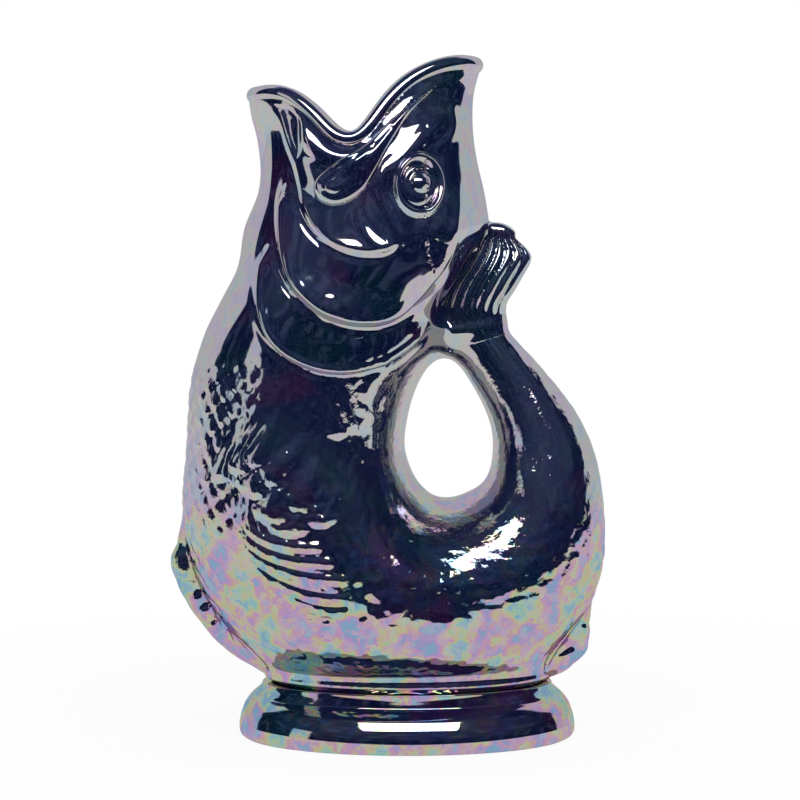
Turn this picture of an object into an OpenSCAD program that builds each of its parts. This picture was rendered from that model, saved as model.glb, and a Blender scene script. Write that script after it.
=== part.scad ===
// Fish shaped gurgle jug in slip-cast glazed ceramic.
// The fish stands on its belly with its mouth open upwards, and its hollow tail curls up behind as the handle.
// X runs from the belly to the tail, Y from the fish's left side to its right, and Z up from the resting face.

/* [Overall] */
// Height from the resting face to the tip of the upper lip
jug_h = 250; // [210:1:290]
// Length from the ventral fin to the back of the tail
jug_l = 160; // [140:1:185]
// Depth of the belly from side to side
belly_d = 99; // [85:1:115]
// Thickness of the cast wall
wall_t = 4.5; // [3:0.1:5.5]

/* [Foot] */
// Length of the oval foot
foot_l = 124; // [110:1:140]
// Depth of the oval foot
foot_d = 88; // [78:1:98]
// Height of the foot up to the collar that carries the belly
foot_h = 20.6; // [14:0.1:28]
// Width of the ring that the foot stands on
foot_ring_w = 5; // [4:0.1:8]
// Ledge of the collar outside the belly
collar_ledge = 3.6; // [2:0.1:5]

/* [Mouth] */
// Diameter of the rolled bead along the lips
lip_bead_d = 6.4; // [5:0.1:8]

/* [Head relief] */
// How far the gill cover stands proud of the head
gill_cover_rise = 3; // [1.5:0.1:4]
// How far the gill flap stands proud of the neck
gill_flap_rise = 1.8; // [1:0.1:3]
// How far the jaw flap stands proud of the cheek
jaw_flap_rise = 2.2; // [1:0.1:3]
// How far the ring round the eye stands proud
eye_ring_rise = 1.8; // [1:0.1:3]
// How far the eyeball stands proud
eye_rise = 3.2; // [2:0.1:4.5]
// Height of the eyeball along the head
eye_h = 17; // [13:0.1:20]
// Width of the eyeball across the head
eye_w = 13; // [10:0.1:15]
// Width of the ring round the eye
eye_ring_w = 3; // [2:0.1:4]

/* [Fins] */
// How far the rays of the side fins stand proud of the belly
ray_rise = 2.6; // [1.5:0.1:4]
// Width of such a ray at its root, half of that at its tip
ray_w = 2.4; // [1.5:0.1:3]
// Rays in the tail fin
tail_rays = 6; // [4:1:8]
// Rays in the ventral fin
ventral_rays = 6; // [4:1:8]
// Rays in the anal fin
anal_rays = 3; // [2:1:5]

/* [Hidden] */

glaze_dark = [0.07, 0.07, 0.17];
glaze_pearl = [0.62, 0.62, 0.68];
glaze_pink = [0.56, 0.47, 0.58];

// Overrun of a cutter past the face it cuts
cut = 1;
// Points round a body section, and rings up the body
body_points = 36;
body_rings = 34;
// The same for the cavity, which nobody sees
cavity_points = 22;
cavity_rings = 20;
tail_points = 28;
fin_points = 16;
bead_points = 7;
// Rings in each stretch of the tail, the bore, a fin and the lips
tail_steps = 2;
bore_steps = 2;
fin_steps = 2;
lip_steps = 1.5;
// Points round the foot, and rings up its flank
foot_points = 40;
foot_rings = 8;

shell_h = jug_h - foot_h;
collar_share = 0.86;
collar_l = foot_l * collar_share;
collar_d = foot_d - (foot_l - collar_l);
base_half_l = collar_l / 2 - collar_ledge;
base_half_d = collar_d / 2 - collar_ledge / 2;

// Body sections up the fish: height above the collar, belly side, back and half depth.
// Heights are shares of shell_h, the two sides are shares of jug_l, and half depths are shares of belly_d.
body_shares = [
    [0.015, -0.325, 0.318, 0.340], [0.032, -0.347, 0.318, 0.367], [0.050, -0.371, 0.314, 0.415],
    [0.067, -0.392, 0.303, 0.449], [0.085, -0.413, 0.290, 0.471], [0.105, -0.435, 0.280, 0.485],
    [0.130, -0.459, 0.256, 0.494], [0.163, -0.484, 0.206, 0.499], [0.207, -0.503, 0.125, 0.500],
    [0.259, -0.514, 0.056, 0.495], [0.311, -0.514, 0.028, 0.480], [0.372, -0.506, -0.005, 0.455],
    [0.420, -0.502, 0.000, 0.434], [0.468, -0.498, 0.018, 0.420], [0.503, -0.489, 0.044, 0.414],
    [0.529, -0.478, 0.072, 0.416], [0.564, -0.461, 0.081, 0.424], [0.597, -0.437, 0.082, 0.430],
    [0.630, -0.412, 0.098, 0.429], [0.660, -0.389, 0.122, 0.424], [0.695, -0.378, 0.155, 0.414],
    [0.725, -0.366, 0.187, 0.404], [0.756, -0.349, 0.183, 0.389], [0.786, -0.333, 0.176, 0.372],
    [0.820, -0.329, 0.164, 0.351], [0.852, -0.331, 0.155, 0.328], [0.882, -0.337, 0.150, 0.308],
    [0.913, -0.353, 0.149, 0.283], [0.939, -0.364, 0.151, 0.263], [0.965, -0.363, 0.160, 0.237],
    [1.000, -0.350, 0.177, 0.207]];
// How far the cavity draws in on its first sections above the floor
floor_round_shares = [0.84, 0.97];

// Tail sections from inside the belly round to the fin: inner side, outer side and half depth.
// Lengths are shares of jug_l, heights above the collar are shares of shell_h, half depths are shares of belly_d.
tail_shares = [
    [0, -0.156, 0.276, -0.156, 0.045, 0.380], [1, 0.000, 0.289, 0.000, 0.024, 0.404],
    [2, 0.087, 0.295, 0.125, 0.017, 0.404], [3, 0.131, 0.303, 0.305, 0.032, 0.384],
    [4, 0.170, 0.319, 0.408, 0.108, 0.343], [5, 0.188, 0.341, 0.449, 0.179, 0.308],
    [6, 0.194, 0.368, 0.456, 0.264, 0.273], [7, 0.194, 0.392, 0.436, 0.360, 0.222],
    [8, 0.188, 0.415, 0.388, 0.435, 0.182], [9, 0.167, 0.451, 0.312, 0.503, 0.141],
    [10, 0.124, 0.501, 0.243, 0.556, 0.116], [11, 0.062, 0.556, 0.226, 0.580, 0.106]];
// Where the bore stops, closed, short of the fin
bore_end = 9.4;

// Sections of the fan-shaped tail fin, from the end of the tail up against the nape
tail_fin_shares = [
    [0, 0.062, 0.556, 0.226, 0.580, 0.106], [1, 0.056, 0.595, 0.228, 0.612, 0.093],
    [2, 0.068, 0.630, 0.254, 0.644, 0.080], [3, 0.094, 0.662, 0.283, 0.676, 0.066],
    [4, 0.125, 0.693, 0.279, 0.693, 0.052], [5, 0.156, 0.717, 0.250, 0.712, 0.036]];
// Sections of the ventral fin, from its top down to the collar
ventral_fin_shares = [
    [0, -0.438, 0.285, -0.514, 0.268, 0.050], [1, -0.412, 0.233, -0.531, 0.222, 0.081],
    [2, -0.394, 0.211, -0.545, 0.194, 0.096], [3, -0.388, 0.180, -0.533, 0.163, 0.101],
    [4, -0.362, 0.146, -0.511, 0.130, 0.101], [5, -0.331, 0.111, -0.478, 0.096, 0.101],
    [6, -0.288, 0.076, -0.425, 0.054, 0.096], [7, -0.256, 0.054, -0.356, 0.022, 0.086],
    [8, -0.250, 0.042, -0.312, 0.006, 0.061]];
// Sections of the anal fin under the tail
anal_fin_shares = [
    [0, 0.312, 0.154, 0.425, 0.128, 0.050], [1, 0.300, 0.128, 0.422, 0.098, 0.071],
    [2, 0.275, 0.111, 0.421, 0.076, 0.081], [3, 0.250, 0.093, 0.414, 0.048, 0.086],
    [4, 0.225, 0.067, 0.375, 0.020, 0.081], [5, 0.212, 0.045, 0.331, 0.004, 0.061]];
// How deep the grooves between a fin's rays are, of its thickness
groove_share = 0.22;

// Side view of the lips, along the middle of the wall, from the lower lip down into the notch and up to the upper lip
rim_shares = [
    [0, -0.347, 0.937], [1, -0.312, 0.941], [2, -0.272, 0.938], [3, -0.238, 0.924], [4, -0.208, 0.906],
    [5, -0.181, 0.886], [6, -0.156, 0.872], [7, -0.128, 0.867], [8, -0.102, 0.874], [9, -0.078, 0.893],
    [10, -0.056, 0.915], [11, -0.031, 0.937], [12, 0.000, 0.957], [13, 0.038, 0.973], [14, 0.081, 0.984],
    [15, 0.125, 0.988], [16, 0.155, 0.985]];

// How far under the bead's middle the wall stops
lip_seat_share = 0.12;

// Side views of the relief on the head, as shares of jug_l along X and of shell_h above the collar
gill_cover_shares = [
    [-0.278, 0.805], [-0.292, 0.774], [-0.293, 0.728], [-0.286, 0.682], [-0.271, 0.644], [-0.237, 0.617],
    [-0.193, 0.596], [-0.127, 0.585], [-0.061, 0.593], [-0.016, 0.605], [0.017, 0.627], [0.040, 0.650],
    [0.073, 0.678], [0.100, 0.710], [0.118, 0.745], [0.107, 0.767], [0.073, 0.736], [0.028, 0.706],
    [-0.027, 0.687], [-0.094, 0.681], [-0.149, 0.693], [-0.193, 0.711], [-0.232, 0.747], [-0.246, 0.798]];
gill_flap_shares = [
    [-0.292, 0.774], [-0.321, 0.712], [-0.330, 0.688], [-0.338, 0.650], [-0.346, 0.612], [-0.332, 0.582],
    [-0.305, 0.551], [-0.260, 0.526], [-0.193, 0.514], [-0.127, 0.511], [-0.061, 0.519], [-0.016, 0.534],
    [0.017, 0.551], [0.040, 0.568], [0.062, 0.587], [0.060, 0.640], [0.040, 0.650], [0.017, 0.627],
    [-0.016, 0.605], [-0.061, 0.593], [-0.127, 0.585], [-0.193, 0.596], [-0.237, 0.617], [-0.271, 0.644],
    [-0.286, 0.682], [-0.293, 0.728]];
jaw_flap_shares = [
    [0.040, 0.937], [-0.005, 0.920], [-0.050, 0.900], [-0.078, 0.872], [-0.116, 0.850], [-0.161, 0.829],
    [-0.190, 0.814], [-0.203, 0.784], [-0.194, 0.765], [-0.167, 0.760], [-0.138, 0.765], [-0.105, 0.784],
    [-0.078, 0.821], [-0.038, 0.868], [0.006, 0.914]];
eye_share = [0.026, 0.800];

// The middle line of each ray of the side fins in the side view, from the fin's root to the ray's tip
ray_shares = [
    [[-0.378, 0.282], [-0.330, 0.252], [-0.262, 0.240], [-0.196, 0.242]],
    [[-0.380, 0.276], [-0.335, 0.232], [-0.262, 0.211], [-0.164, 0.214]],
    [[-0.382, 0.270], [-0.325, 0.210], [-0.250, 0.184], [-0.134, 0.187]],
    [[-0.384, 0.264], [-0.312, 0.190], [-0.238, 0.162], [-0.132, 0.160]]];

// Profile of the foot's flank: height as a share of foot_h, half length as a share of the foot's own.
// The flank draws in as far across the foot as it does along it.
foot_shares = [
    [0, 0.955], [0.05, 0.977], [0.15, 0.995], [0.27, 1.000], [0.36, 0.994], [0.45, 0.984],
    [0.52, 0.971], [0.58, 0.956], [0.65, 0.931], [0.73, 0.899], [0.80, 0.871], [0.87, 0.861], [1.00, 0.857]];

// The seams where one moulded section ends and the next begins
neck_z = foot_h + shell_h * 0.545;
tail_seam_x = jug_l * 0.078;
tail_seam_z = foot_h + shell_h * 0.345;

// The slope and value of a table at key k, by cubic blending between its rows
function table_row(t, k, i = 0) = i >= len(t) - 2 || k < t[i + 1][0] ? i : table_row(t, k, i + 1);
function table_slope(t, i, c) =
    let (a = max(i - 1, 0), b = min(i + 1, len(t) - 1)) (t[b][c] - t[a][c]) / (t[b][0] - t[a][0]);
function blend(y0, y1, m0, m1, u) =
    (2 * u^3 - 3 * u^2 + 1) * y0 + (u^3 - 2 * u^2 + u) * m0 + (3 * u^2 - 2 * u^3) * y1 + (u^3 - u^2) * m1;
function table_at(t, k) =
    let (i = table_row(t, k), d = t[i + 1][0] - t[i][0], u = (k - t[i][0]) / d)
    [for (c = [1:len(t[0]) - 1])
        blend(t[i][c], t[i + 1][c], table_slope(t, i, c) * d, table_slope(t, i + 1, c) * d, u)];

// The body's table with its foot row, in millimetres: height, belly side, back, half depth
body_table = concat(
    [[foot_h, -base_half_l, base_half_l, base_half_d]],
    [for (r = body_shares) [foot_h + r[0] * shell_h, r[1] * jug_l, r[2] * jug_l, r[3] * belly_d]]);
function section_table(shares) = [for (r = shares)
    [r[0], r[1] * jug_l, foot_h + r[2] * shell_h, r[3] * jug_l, foot_h + r[4] * shell_h, r[5] * belly_d]];

// A section is [inner x, inner z, outer x, outer z, half depth]
function level_section(z, half_l, half_d) = [-half_l, z, half_l, z, half_d];
function body_section(z) = let (s = table_at(body_table, z)) [s[0], z, s[1], z, s[2]];
function grown(s, g) =
    let (v = [s[2] - s[0], s[3] - s[1]], u = v / norm(v))
    [s[0] - g * u[0], s[1] - g * u[1], s[2] + g * u[0], s[3] + g * u[1], s[4] + g];
function narrowed(s, k) =
    let (c = [s[0] + s[2], s[1] + s[3]] / 2)
    [c[0] + (s[0] - c[0]) * k, c[1] + (s[1] - c[1]) * k, c[0] + (s[2] - c[0]) * k, c[1] + (s[3] - c[1]) * k, s[4] * k];

// The points of an oval ring on a section, with rays and grooves along it when rays is over zero
function ring(s, n, rays = 0) = [for (j = [0:n - 1])
    let (a = 360 * j / n, p = (1 + cos(a)) / 2,
         groove = rays == 0 ? 0 : groove_share * (1 - cos(360 * rays * p)) / 2)
    [s[0] + (s[2] - s[0]) * p, s[4] * sin(a) * (1 - groove), s[1] + (s[3] - s[1]) * p]];

// A closed solid through rings of equal count
module loft(rings) {
    n = len(rings[0]);
    last = len(rings) - 1;
    sides = [for (i = [0:last - 1]) for (j = [0:n - 1])
        let (a = i * n + j, b = i * n + (j + 1) % n) each [[a, a + n, b + n], [a, b + n, b]]];
    start_cap = [[for (j = [0:n - 1]) j]];
    end_cap = [[for (j = [0:n - 1]) last * n + n - 1 - j]];
    polyhedron(points = [for (r = rings) each r], faces = concat(start_cap, sides, end_cap), convexity = 10);
}

// Cut and joined lofts are kept as one mesh
module moulded() resize([0, 0, 0]) children();

// The body as a solid, g thicker all round
module body_solid(g = 0) {
    rise = jug_h - foot_h;
    loft([for (i = [0:body_rings]) ring(grown(body_section(foot_h + rise * i / body_rings), g), body_points)]);
}

// The tail as a solid
module tail_solid() {
    table = section_table(tail_shares);
    last = (len(table) - 1) * tail_steps;
    loft([for (i = [0:last]) ring(table_at(table, i / tail_steps), tail_points)]);
}

// The space inside the body, rounded where it meets the floor
module body_hollow() {
    floor_z = foot_h + wall_t;
    rise = jug_h - floor_z;
    below = [for (i = [0:cavity_rings])
        let (k = i < len(floor_round_shares) ? floor_round_shares[i] : 1)
        narrowed(grown(body_section(floor_z + rise * i / cavity_rings), -wall_t), k)];
    top = below[cavity_rings] + [0, cut, 0, cut, 0];
    loft([for (s = concat(below, [top])) ring(s, cavity_points)]);
}

// The bore of the tail, open into the belly and closed short of the fin
module tail_hollow() {
    table = section_table(tail_shares);
    last = floor(bore_end * bore_steps);
    loft([for (i = [0:last])
        ring(narrowed(grown(table_at(table, i / bore_steps), -wall_t), i == last ? 0.6 : 1), cavity_points)]);
}

module hollow() {
    body_hollow();
    tail_hollow();
}

module whole_fish() {
    body_solid();
    tail_solid();
}

// The side view of the mouth, cut through from side to side a little under the bead's middle, so the wall ends in the bead
module mouth_cut() {
    above = jug_h + 2 * cut;
    lips = side_points([for (i = [0:lip_steps * (len(rim_shares) - 1)]) table_at(rim_shares, i / lip_steps)]);
    first = lips[0];
    last = lips[len(lips) - 1];
    over = [[first[0] - lip_bead_d, above], [first[0] - lip_bead_d, first[1]]];
    back = [[last[0] + lip_bead_d, last[1]], [last[0] + lip_bead_d, above]];
    for (side = [0, 1]) mirror([0, side, 0]) translate([0, 0, -lip_seat_share * lip_bead_d])
        left_cut() polygon(concat(over, lips, back));
}

// A side view's outline, extruded over the fish's left half
module left_cut() {
    rotate([90, 0, 0]) linear_extrude(belly_d) children();
}

function side_points(shares) = [for (p = shares) [p[0] * jug_l, foot_h + p[1] * shell_h]];

// Everything above the height z
module above(z) {
    translate([-jug_l, -jug_l, z]) cube([2 * jug_l, 2 * jug_l, jug_h]);
}

// The block that holds the tail's root
module tail_root_block() {
    translate([tail_seam_x, -jug_l, 0]) cube([jug_l, 2 * jug_l, tail_seam_z]);
}

// How far the foot's flank stands in from its widest line at share k of its height
function foot_inset(k) = foot_l / 2 * (1 - table_at(foot_shares, k)[0]);

// The oval foot, hollow underneath, with the ring that it stands on
module foot() {
    edge = foot_inset(0) + foot_ring_w;
    recess = [[-cut, foot_l / 2 - edge, foot_d / 2 - edge],
              [foot_h + cut, base_half_l - foot_ring_w / 2, base_half_d - foot_ring_w / 2]];
    color(glaze_pearl) difference() {
        loft([for (i = [0:foot_rings])
            let (k = 1 - cos(90 * i / foot_rings), inset = foot_inset(k))
            ring(level_section(foot_h * k, foot_l / 2 - inset, foot_d / 2 - inset), foot_points)]);
        loft([for (r = recess) ring(level_section(r[0], r[1], r[2]), foot_points)]);
    }
}

module belly_shell() {
    color(glaze_dark) moulded() difference() {
        union() {
            difference() {
                body_solid();
                tail_root_block();
            }
            difference() {
                tail_solid();
                tail_root_block();
                above(tail_seam_z);
            }
        }
        hollow();
        above(neck_z);
    }
}

module head_shell() {
    color(glaze_dark) moulded() difference() {
        intersection() {
            body_solid();
            above(neck_z);
        }
        hollow();
        mouth_cut();
        rim_bead();
    }
}

module tail_handle() {
    color(glaze_pearl) moulded() difference() {
        union() {
            intersection() {
                whole_fish();
                tail_root_block();
            }
            difference() {
                intersection() {
                    tail_solid();
                    above(tail_seam_z);
                }
                body_solid();
            }
        }
        hollow();
    }
}

// A fin as a solid with rays: along its sections, or across them as a scalloped edge
module fin_along(shares, rays) {
    table = section_table(shares);
    last = (len(table) - 1) * fin_steps;
    loft([for (i = [0:last]) ring(table_at(table, i / fin_steps), 2 * fin_points, rays)]);
}

module fin_across(shares, rays) {
    table = section_table(shares);
    last = (len(table) - 1) * fin_steps;
    loft([for (i = [0:last])
        let (s = table_at(table, i / fin_steps), groove = groove_share * (1 - cos(360 * rays * i / last)) / 2)
        ring([s[0], s[1], s[2], s[3], s[4] * (1 - groove)], fin_points)]);
}

module tail_fin() {
    color(glaze_pearl) moulded() difference() {
        fin_along(tail_fin_shares, tail_rays);
        body_solid();
        tail_solid();
    }
}

module ventral_fin() {
    color(glaze_pink) moulded() difference() {
        fin_across(ventral_fin_shares, ventral_rays);
        body_solid();
    }
}

module anal_fin() {
    color(glaze_pink) moulded() difference() {
        fin_across(anal_fin_shares, anal_rays);
        whole_fish();
    }
}

// Half depth of the body at a point of the side view, g outside its surface
function flank_y(x, z, g) =
    let (s = grown(body_section(z), g), q = (2 * x - s[0] - s[2]) / (s[2] - s[0]))
    s[4] * sqrt(max(1 - q * q, 0));
// Which way the flank faces there, as a turn away from Y
function flank_turn(x, z) =
    let (s = body_section(z), half_l = (s[2] - s[0]) / 2)
    atan2((x - (s[0] + s[2]) / 2) / half_l^2, flank_y(x, z, 0) / s[4]^2);

// The rolled bead along the lips, a closed tube on the middle of the wall
function lip_point(p, side) =
    let (x = p[0] * jug_l, z = foot_h + p[1] * shell_h) [x, side * flank_y(x, z, -wall_t / 2), z];

module rim_bead() {
    last = lip_steps * (len(rim_shares) - 1);
    left = [for (i = [0:last]) lip_point(table_at(rim_shares, i / lip_steps), -1)];
    right = [for (i = [last - 1:-1:1]) lip_point(table_at(rim_shares, i / lip_steps), 1)];
    path = concat(left, right);
    m = len(path);
    n = bead_points;
    rings = [for (i = [0:m - 1])
        let (t = path[(i + 1) % m] - path[(i + m - 1) % m], u = cross(t, [0, 0, 1]), a = u / norm(u),
             v = cross(a, t), b = v / norm(v))
        [for (j = [0:n - 1]) path[i] + lip_bead_d / 2 * (a * cos(360 * j / n) + b * sin(360 * j / n))]];
    faces = [for (i = [0:m - 1]) for (j = [0:n - 1])
        let (a = i * n + j, b = i * n + (j + 1) % n, c = (i + 1) % m * n)
        each [[a, b, c + (j + 1) % n], [a, c + (j + 1) % n, c + j]]];
    polyhedron(points = [for (r = rings) each r], faces = faces, convexity = 10);
}

module mouth_rim() {
    color(glaze_pearl) rim_bead();
}

// A plate of relief on the fish's left side, rise thick over the head or belly, with the outline given as a child
module plate(rise) {
    difference() {
        intersection() {
            body_solid(rise);
            left_cut() children();
        }
        body_solid();
    }
}

// The left piece, or its mirror image on the right side
module on_side(right) {
    if (right) mirror([0, 1, 0]) children();
    else children();
}

module gill_cover(right) {
    color(glaze_dark) on_side(right) moulded() plate(gill_cover_rise) polygon(side_points(gill_cover_shares));
}

module gill_flap(right) {
    color(glaze_pearl) on_side(right) moulded() difference() {
        plate(gill_flap_rise) polygon(side_points(gill_flap_shares));
        left_cut() polygon(side_points(gill_cover_shares));
    }
}

module jaw_flap(right) {
    color(glaze_dark) on_side(right) moulded() difference() {
        plate(jaw_flap_rise) polygon(side_points(jaw_flap_shares));
        mouth_cut();
        rim_bead();
    }
}

eye_x = eye_share[0] * jug_l;
eye_z = foot_h + eye_share[1] * shell_h;

module eye_oval(w, h) {
    translate([eye_x, eye_z]) scale([w / h, 1]) circle(d = h, $fn = 20);
}

// The eyeball, a low dome that faces the way the cheek does
module eye(right) {
    color(glaze_dark) on_side(right) moulded() difference() {
        translate([eye_x, -flank_y(eye_x, eye_z, 0), eye_z]) rotate([0, 0, flank_turn(eye_x, eye_z)])
            scale([eye_w / 2, eye_rise, eye_h / 2]) sphere(1, $fn = 20);
        body_solid();
    }
}

module eye_ring(right) {
    color(glaze_pearl) on_side(right) moulded() difference() {
        plate(eye_ring_rise) eye_oval(eye_w + 2 * eye_ring_w, eye_h + 2 * eye_ring_w);
        left_cut() eye_oval(eye_w, eye_h);
    }
}

module side_fin(right) {
    color(glaze_pink) on_side(right) moulded() plate(ray_rise) for (line = ray_shares) ray(side_points(line));
}

// One ray seen from the side: a bent strip that widens from the root to a round tip
module ray(line) {
    last = len(line) - 1;
    half_w = [for (i = [0:last]) ray_w / 2 * (1 + i / last)];
    upper = [for (i = [0:last]) line[i] + [0, half_w[i]]];
    lower = [for (i = [last:-1:0]) line[i] - [0, half_w[i]]];
    polygon(concat(upper, [line[last] + [half_w[last], 0]], lower));
}

foot();
belly_shell();
head_shell();
tail_handle();
tail_fin();
mouth_rim();
ventral_fin();
anal_fin();
gill_cover(false);  // gill_cover_left
gill_cover(true);  // gill_cover_right
gill_flap(false);  // gill_flap_left
gill_flap(true);  // gill_flap_right
jaw_flap(false);  // jaw_flap_left
jaw_flap(true);  // jaw_flap_right
eye(false);  // eye_left
eye(true);  // eye_right
eye_ring(false);  // eye_ring_left
eye_ring(true);  // eye_ring_right
side_fin(false);  // side_fin_left
side_fin(true);  // side_fin_right
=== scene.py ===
"""Looks of the fish shaped gurgle jug: one glazed casting with its scales, plates, fins, eyes and rolled lip.

Lengths are in millimetres until a mesh is made. The fish's left side is at -Y, and the right side mirrors it.
Relief on the head and flank is drawn as strokes in the pixels of an 800 x 800 picture that the scene's camera
takes, and is laid on the surface that carries it.
"""
import math

import bpy
import numpy as np
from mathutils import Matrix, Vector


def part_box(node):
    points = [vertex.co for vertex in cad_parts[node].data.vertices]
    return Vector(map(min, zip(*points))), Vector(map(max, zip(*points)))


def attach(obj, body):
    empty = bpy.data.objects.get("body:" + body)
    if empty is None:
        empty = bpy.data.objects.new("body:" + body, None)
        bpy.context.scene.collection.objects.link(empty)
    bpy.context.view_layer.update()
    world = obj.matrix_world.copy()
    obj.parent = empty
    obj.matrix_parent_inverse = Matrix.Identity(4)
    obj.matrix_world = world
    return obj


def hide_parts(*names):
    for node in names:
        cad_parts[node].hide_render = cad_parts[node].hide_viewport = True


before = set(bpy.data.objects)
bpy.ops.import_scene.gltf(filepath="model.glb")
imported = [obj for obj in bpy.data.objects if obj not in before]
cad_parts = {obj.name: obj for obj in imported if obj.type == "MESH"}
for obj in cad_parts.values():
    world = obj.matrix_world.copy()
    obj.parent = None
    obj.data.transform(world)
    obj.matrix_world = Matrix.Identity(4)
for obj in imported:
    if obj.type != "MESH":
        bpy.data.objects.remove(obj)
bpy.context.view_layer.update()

MM = 0.001

# Driving sizes, the same as in the part's source
JUG_H = 250.0
JUG_L = 160.0
BELLY_D = 99.0
WALL_T = 4.5
LIP_BEAD_D = 6.4
COLLAR_LEDGE = 3.6
COLLAR_SHARE = 0.86
foot_low, foot_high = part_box("foot")
FOOT_L = (foot_high.x - foot_low.x) / MM
FOOT_D = (foot_high.y - foot_low.y) / MM
FOOT_H = foot_high.z / MM
SHELL_H = JUG_H - FOOT_H
FLOOR_Z = FOOT_H + WALL_T
BASE_HALF_L = FOOT_L * COLLAR_SHARE / 2 - COLLAR_LEDGE
BASE_HALF_D = (FOOT_D - FOOT_L * (1 - COLLAR_SHARE)) / 2 - COLLAR_LEDGE / 2

# Spacing of the surface meshes, of the side view maps, and how far the tables are smoothed
SHELL_STEP = 0.8
FIN_STEP = 0.6
MAP_STEP = 0.5
SMOOTH_MM = 2.5
# Width of the fillet between tail and belly, between a fin and what carries it, and at the cavity's floor
TAIL_FILLET = 11.0
FIN_FILLET = 2.5
FLOOR_FILLET = 10.0

# These tables hold thousandths of the driving sizes, and heights count from the collar up.
# Body sections: height (of SHELL_H), belly side and back (JUG_L), half depth (BELLY_D)
BODY_SHARES = [
    [15, -325, 318, 340], [32, -347, 318, 367], [50, -371, 314, 415], [67, -392, 303, 449],
    [85, -413, 290, 471], [105, -435, 280, 485], [130, -459, 256, 494], [163, -484, 206, 499],
    [207, -503, 125, 500], [259, -514, 56, 495], [311, -514, 28, 480], [372, -506, -5, 455],
    [420, -502, 0, 434], [468, -498, 18, 420], [503, -489, 44, 414], [529, -478, 72, 416],
    [564, -461, 81, 424], [597, -437, 82, 430], [630, -412, 98, 429], [660, -389, 122, 424],
    [695, -378, 155, 414], [725, -366, 187, 404], [756, -349, 183, 389], [786, -333, 176, 372],
    [820, -329, 164, 351], [852, -331, 155, 328], [882, -337, 150, 308], [913, -353, 149, 283],
    [939, -364, 151, 263], [965, -363, 160, 237], [1000, -350, 177, 207]]
# Swept sections: inner side x z, outer side x z and half depth, of JUG_L, SHELL_H and BELLY_D
TAIL_SHARES = [
    [-156, 276, -156, 45, 380], [0, 289, 0, 24, 404], [87, 295, 125, 17, 404], [131, 303, 305, 32, 384],
    [170, 319, 408, 108, 343], [188, 341, 449, 179, 308], [194, 368, 456, 264, 273],
    [194, 392, 436, 360, 222], [188, 415, 388, 435, 182], [167, 451, 312, 503, 141],
    [124, 501, 243, 556, 116], [62, 556, 226, 580, 106]]
# The section where the bore of the tail ends
BORE_END = 9.4
TAIL_FIN_SHARES = [
    TAIL_SHARES[-1], [56, 595, 228, 612, 93], [68, 630, 254, 644, 80], [94, 662, 283, 676, 66],
    [125, 693, 279, 693, 52], [156, 717, 250, 712, 36]]
VENTRAL_FIN_SHARES = [
    [-438, 285, -514, 268, 50], [-412, 233, -531, 222, 81], [-394, 211, -545, 194, 96],
    [-388, 180, -533, 163, 101], [-362, 146, -511, 130, 101], [-331, 111, -478, 96, 101],
    [-288, 76, -425, 54, 96], [-256, 54, -356, 22, 86], [-250, 42, -312, 6, 61]]
ANAL_FIN_SHARES = [
    [312, 154, 425, 128, 50], [300, 128, 422, 98, 71], [275, 111, 421, 76, 81], [250, 93, 414, 48, 86],
    [225, 67, 375, 20, 81], [212, 45, 331, 4, 61]]
# Side view of the lips along the middle of the wall
RIM_SHARES = [
    [-347, 937], [-312, 941], [-272, 938], [-238, 924], [-208, 906], [-181, 886], [-156, 872], [-128, 867],
    [-102, 874], [-78, 893], [-56, 915], [-31, 937], [0, 957], [38, 973], [81, 984], [125, 988],
    [155, 985]]
# Profile of the foot: height (of FOOT_H), and its half length less the inset at the front and at the ends
FOOT_SHARES = [
    [0, 960, 960], [40, 982, 982], [90, 994, 994], [150, 999, 999], [210, 998.5, 999.5], [270, 996, 999],
    [330, 991, 995], [390, 983.5, 991], [440, 975, 987], [490, 964, 982], [530, 954.5, 977],
    [570, 945, 972], [600, 936, 968], [650, 917, 958], [700, 896, 947], [740, 878, 937], [765, 866, 930],
    [780, 862.5, 925], [820, 861, 911], [870, 860, 891], [930, 859, 870], [1000, 859, 859]]

# The camera: where it stands, how far it looks down, and its focal length in pixels of an 800 pixel picture
CAMERA_AT = (-2.59, -1230.0, 226.0)
CAMERA_PITCH = math.radians(4.7227)
FOCAL_PX = 3362.97
PICTURE_PX = 800


def table_at(table, key):
    """Rows of a table blended by cubics at the keys, one array for each column after the first"""
    t = np.asarray(table, float)
    k = np.asarray(key, float)
    i = np.clip(np.searchsorted(t[:, 0], k, side="right") - 1, 0, len(t) - 2)
    before = np.maximum(np.arange(len(t)) - 1, 0)
    after = np.minimum(np.arange(len(t)) + 1, len(t) - 1)
    slope = (t[after] - t[before]) / (t[after, :1] - t[before, :1])
    d = t[i + 1, 0] - t[i, 0]
    u = (k - t[i, 0]) / d
    w = (2 * u**3 - 3 * u**2 + 1, (u**3 - 2 * u**2 + u) * d, 3 * u**2 - 2 * u**3, (u**3 - u**2) * d)
    return [w[0] * t[i, c] + w[1] * slope[i, c] + w[2] * t[i + 1, c] + w[3] * slope[i + 1, c]
            for c in range(1, t.shape[1])]


def smoothed(values, sigma):
    """A column smoothed along its length by sigma samples, with its ends kept"""
    n = int(3 * sigma)
    w = np.exp(-0.5 * (np.arange(-n, n + 1) / sigma) ** 2)
    head = 2 * values[0] - values[n:0:-1]
    tail = 2 * values[-1] - values[-2:-n - 2:-1]
    return np.convolve(np.concatenate([head, values, tail]), w / w.sum(), "valid")


def lengths(shares, *sizes):
    """Rows of thousandths as millimetres, with FOOT_H added to heights"""
    return np.array(shares) / 1000 * sizes + [FOOT_H if size == SHELL_H else 0 for size in sizes]


def numbered(rows):
    """Rows with their numbers in front, as the keys of a table"""
    return np.column_stack([np.arange(len(rows)), rows])


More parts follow.
